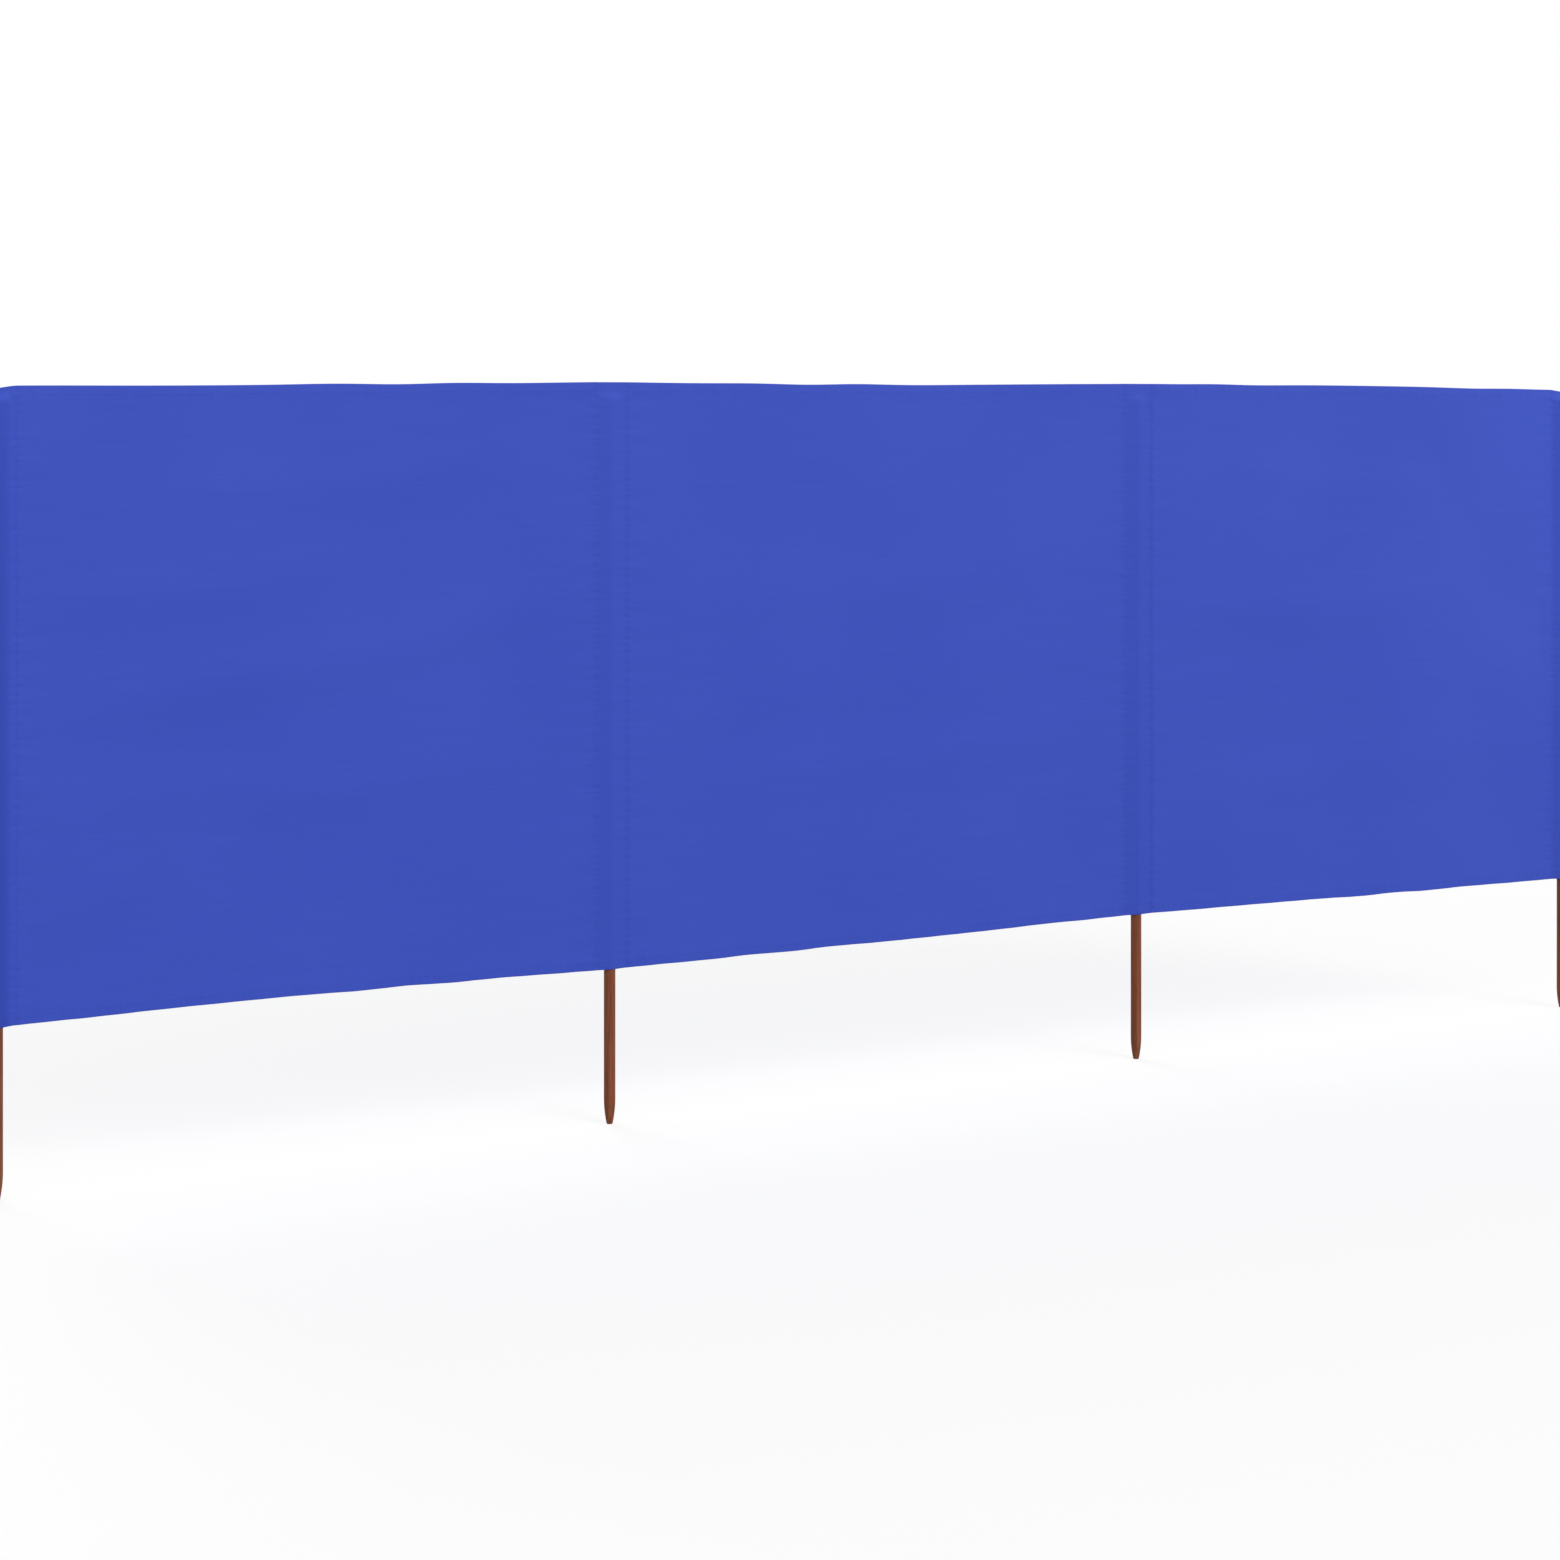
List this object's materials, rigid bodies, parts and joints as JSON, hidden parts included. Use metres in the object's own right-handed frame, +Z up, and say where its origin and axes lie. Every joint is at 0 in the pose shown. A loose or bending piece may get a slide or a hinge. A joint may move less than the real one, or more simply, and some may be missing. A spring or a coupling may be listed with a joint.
{
  "type": "fabric windbreak",
  "caption": "Straight fabric windbreak: bays of plain blue cloth held upright between round brown wooden poles in sewn pockets, with pointed feet to push into the ground.",
  "frame": {"origin": "middle of the small flat foot of the left end pole", "axes": "+X along the row from the left end pole to the right one, +Y to the back of the cloth where the pockets and hems are sewn, +Z up the poles"},
  "size_m": [4, 0.0356, 1.6],
  "materials": {
    "cloth": "matte",
    "pole_wood": "satin"
  },
  "bodies": {
    "root": {"pole_1": "pole_wood", "pole_2": "pole_wood", "pole_3": "pole_wood", "pole_4": "pole_wood", "pocket_1": "cloth", "pocket_2": "cloth", "pocket_3": "cloth", "pocket_4": "cloth", "panel_1": "cloth", "panel_2": "cloth", "panel_3": "cloth", "top_hem_1": "cloth", "top_hem_2": "cloth", "top_hem_3": "cloth", "bottom_hem_1": "cloth", "bottom_hem_2": "cloth", "bottom_hem_3": "cloth"}
  },
  "joints": []
}
